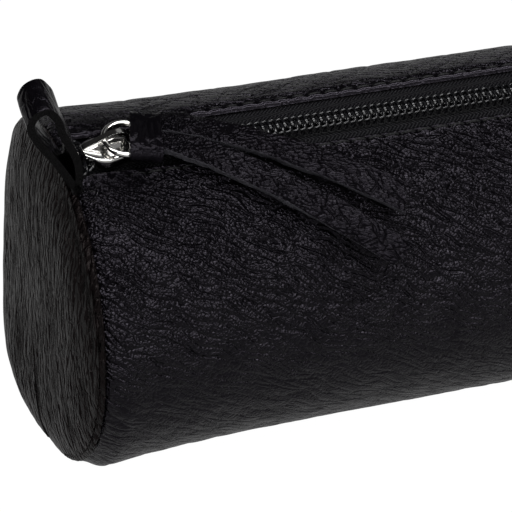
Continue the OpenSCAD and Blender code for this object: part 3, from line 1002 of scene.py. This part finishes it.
top_section = ((-1, flange_z), (-1.0, plate_top - 1.0), (-0.975, plate_top - 0.4),
               (-0.88, plate_top - 0.16), (-0.5, plate_top - 0.08), (0, plate_top - 0.1),
               (0.42, plate_top - 0.4), (0.78, plate_top - 1.0), (0.96, plate_top - 1.5),
               (1.0, plate_top - 1.9), (1, flange_z))
low_section = ((-1, plate_low + 0.35), (-0.8, plate_low + 0.06), (0, plate_low), (0.8, plate_low + 0.06),
               (1, plate_low + 0.35))


def crown_shape(u, v):
    """The strip that bridges the top plate."""
    line = smooth_line(crown_line, u)
    return (from_zip(np.stack([line[:, 0], crown_w * (v - 0.5), line[:, 1]], 1)),
            np.stack([u * 12, crown_w * v], 1))


top_shell = slider_shell("slider", top_section, True)
low_shell = slider_shell("slider_low", low_section, False)
crown = bent_sheet("slider_crown", crown_cells, crown_shape)
give_wall(crown, crown_t)
round_rims(crown, 0.14, 2)
finish_mesh(crown)
bpy.ops.object.select_all(action="DESELECT")
bpy.ops.mesh.primitive_circle_add(vertices=len(wedge_line), radius=mm, fill_type="NGON")
wedge = bpy.context.object
wedge_foot = from_zip(np.array([(x, y, plate_low + wedge_in) for x, y in reversed(wedge_line)]))
wedge.data.vertices.foreach_set("co", (wedge_foot * mm).ravel())
bpy.ops.object.mode_set(mode="EDIT")
bpy.ops.mesh.select_all(action="SELECT")
chain_up = Vector((0, -math.sin(zip_turn), math.cos(zip_turn)))
wedge_h = plate_top - plate_low - 2 * wedge_in
bpy.ops.mesh.extrude_region_move(TRANSFORM_OT_translate={"value": chain_up * wedge_h * mm})
bpy.ops.mesh.select_all(action="SELECT")
bpy.ops.mesh.normals_make_consistent(inside=False)
bpy.ops.object.mode_set(mode="OBJECT")
pick(low_shell, crown, wedge, top_shell)
bpy.ops.object.join()
nickel = polished("polished_nickel", nickel_colour, 0.13)
top_shell.data.materials.append(nickel)
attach(top_shell, "slider")
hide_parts("slider_body")


# ---- Pull ring ----
# A ring of nickel-plated wire, bent to a rounded oblong, hangs in the strip on the slider.
# It swings up about its left bar, and the strap is folded round its right bar.
ring_joint, strap_joint = (next(joint for joint in frame["joints"] if joint["name"] == name)
                           for name in ("ring_swing", "strap_swing"))
ring_bar = Vector(ring_joint["pos_m"]) / mm
far_bar = Vector(strap_joint["pos_m"]) / mm
ring_l = (far_bar - ring_bar).length
ring_along = (far_bar - ring_bar).normalized()
ring_across = -Vector(ring_joint["axis"]).normalized()
ring_up = ring_along.cross(ring_across)
wire_d = 1.1
ring_half = 3.95
ring_reach = 3.6
ring_shift = -0.4


def from_ring(points):
    """Points drawn from the ring's left bar, with X to its right bar, put in their place."""
    frame_axes = np.array([ring_along, ring_across, ring_up])
    return np.array(ring_bar) + points @ frame_axes


def ring_points():
    """The ring's line, in its own flat plane."""
    bend = np.linspace(0, 2 * math.pi, 72, endpoint=False)
    cosine, sine = np.cos(bend), np.sin(bend)
    x = ring_l / 2 + ring_reach * cosine
    y = ring_half * sine + ring_shift
    return from_ring(np.stack([x, y, bend * 0], 1))


ring = wire("pull_loop", ring_points(), wire_d, closed=True, resolution=4)
ring.data.materials.append(nickel)
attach(ring, "ring")
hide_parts("pull_ring")


# ---- Strap ----
# A leather thong is folded round the ring, and both of its tails are drawn through the fold, which
# grips them as a band. The tails fall over the front of the case.
strap_w = 5.0
strap_t = 1.25
band_half = 5.7
band_low = -1.9
band_high = 2.4
band_t = 0.85
band_from = ring_l - 2.2
band_round = 24
band_waist = 0.25
band_flare = 0.09
band_rim = 0.35
band_cells = (72, 14)
tail_from = -0.12
tail_gap = 1.25
tail_rise = 1.1
tail_length = 52
tail_cells = (110, 14)
# The tails' cut edges are a lighter grey than the tab's: partly the raw edge's own grey, partly painted
# light along the lower edges where they catch the light.
thong_edge_lit_grey = (0.032, 0.031, 0.036)
tails = (("strap_upper_tail", ((16.5, -3), (25, -0.5), (54, 35.2)), 1.7, 2.3, -0.03),
         ("strap_lower_tail", ((15.5, 2.5), (24, 10.5), (52, 51.8)), 1.1, 8.6, 0.02))


def band_shape(u, v):
    """The fold that grips the tails, with a narrower waist and one flared end."""
    bend = 2 * math.pi * u
    cosine, sine = np.cos(bend), np.sin(bend)
    waist = 0.08 * ripple(u * 22, v * 5, 2.6, 2.2, 3.9) - band_waist * (1 - (2 * v - 1) ** 2)
    y = (band_half + waist / 2) * np.sign(cosine) * np.abs(cosine) ** 0.85
    high = (band_high - band_low) / 2 + waist
    z = (band_low + band_high) / 2 + high * np.sign(sine) * np.abs(sine) ** 0.92
    x = band_from + strap_w * v + 0.35 * np.sin(bend) * (v - 0.5) + 0.3 * np.cos(bend * 2 + 0.6) * v
    flare = 1 + band_flare * step(0.72, 1, v) * (cosine > 0) * cosine
    return from_ring(np.stack([x, y * flare, z], 1)), np.stack([u * band_round, strap_w * v], 1)


def tail_shape(path, lift, seed, slant):
    """A tail that leaves the band, comes down by its lift to the case, and follows it round. Its path is
    three pairs of a distance along the zip in millimetres and a turn in degrees."""

    def middle(t):
        a, b, c = np.array(path, float)
        t = t[:, None]
        line = a * (1 - t) ** 2 + b * 2 * t * (1 - t) + c * t * t
        t = t[:, 0]
        radius = wrap_r + tail_gap + strap_t + lift * (1 - t).clip(0) ** 1.6 + tail_rise * t * t
        turn = np.radians(line[:, 1])
        return np.stack([line[:, 0], -radius * np.sin(turn), radius * np.cos(turn)], 1), turn

    def shape(u, v):
        side = v - 0.5
        t = tail_from + (1 - tail_from) * u + slant * side * step(0.8, 1, u)
        here, turn = middle(t)
        ahead = middle(t + 0.01)[0] - middle(t - 0.01)[0]
        out = np.stack([turn * 0, -np.sin(turn), np.cos(turn)], 1)
        across = np.cross(out, ahead / np.linalg.norm(ahead, axis=1)[:, None])
        across /= np.linalg.norm(across, axis=1)[:, None]
        length = u * tail_length
        relief = 0.20 * ripple(length, side * strap_w, 2.6, 1.9, seed) * step(0.1, 0.3, u)
        relief -= 0.25 * (2 * side) ** 2
        relief += 0.25 * ripple(length, side * strap_w, 11, 9, seed + 3)
        width = strap_w * (1 + 0.05 * ripple(length, length * 0, 6, 1, seed + 5))
        points = here + across * (side * width)[:, None] + out * relief[:, None]
        return from_zip(points), np.stack([length, side * strap_w], 1)

    return shape


thong_leather = grained_leather("thong_leather", grain=0.3, crack=0.26, crack_size=(3.0, 2.0), fold=0.12,
                                turn=60, gloss=0.09)
thong_edge = cut_edge("thong_edge", thong_edge_lit_grey)
band_skin = grained_leather("band_leather", pebble=1.0, grain=0.2, crack=0.0, fold=0.1, turn=-8,
                            gloss=0.06, stretch=2.0)
band = close_mesh(bent_sheet("strap_band", band_cells, band_shape))
strap = [give_leather_wall(band, band_t, band_skin, band_skin, band_rim)]
for name, path, lift, seed, slant in tails:
    tail = bent_sheet(name, tail_cells, tail_shape(path, lift, seed, slant))
    strap.append(give_leather_wall(tail, strap_t, thong_leather, thong_edge))
for piece in strap:
    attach(piece, "strap")
    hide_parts("pull_strap")
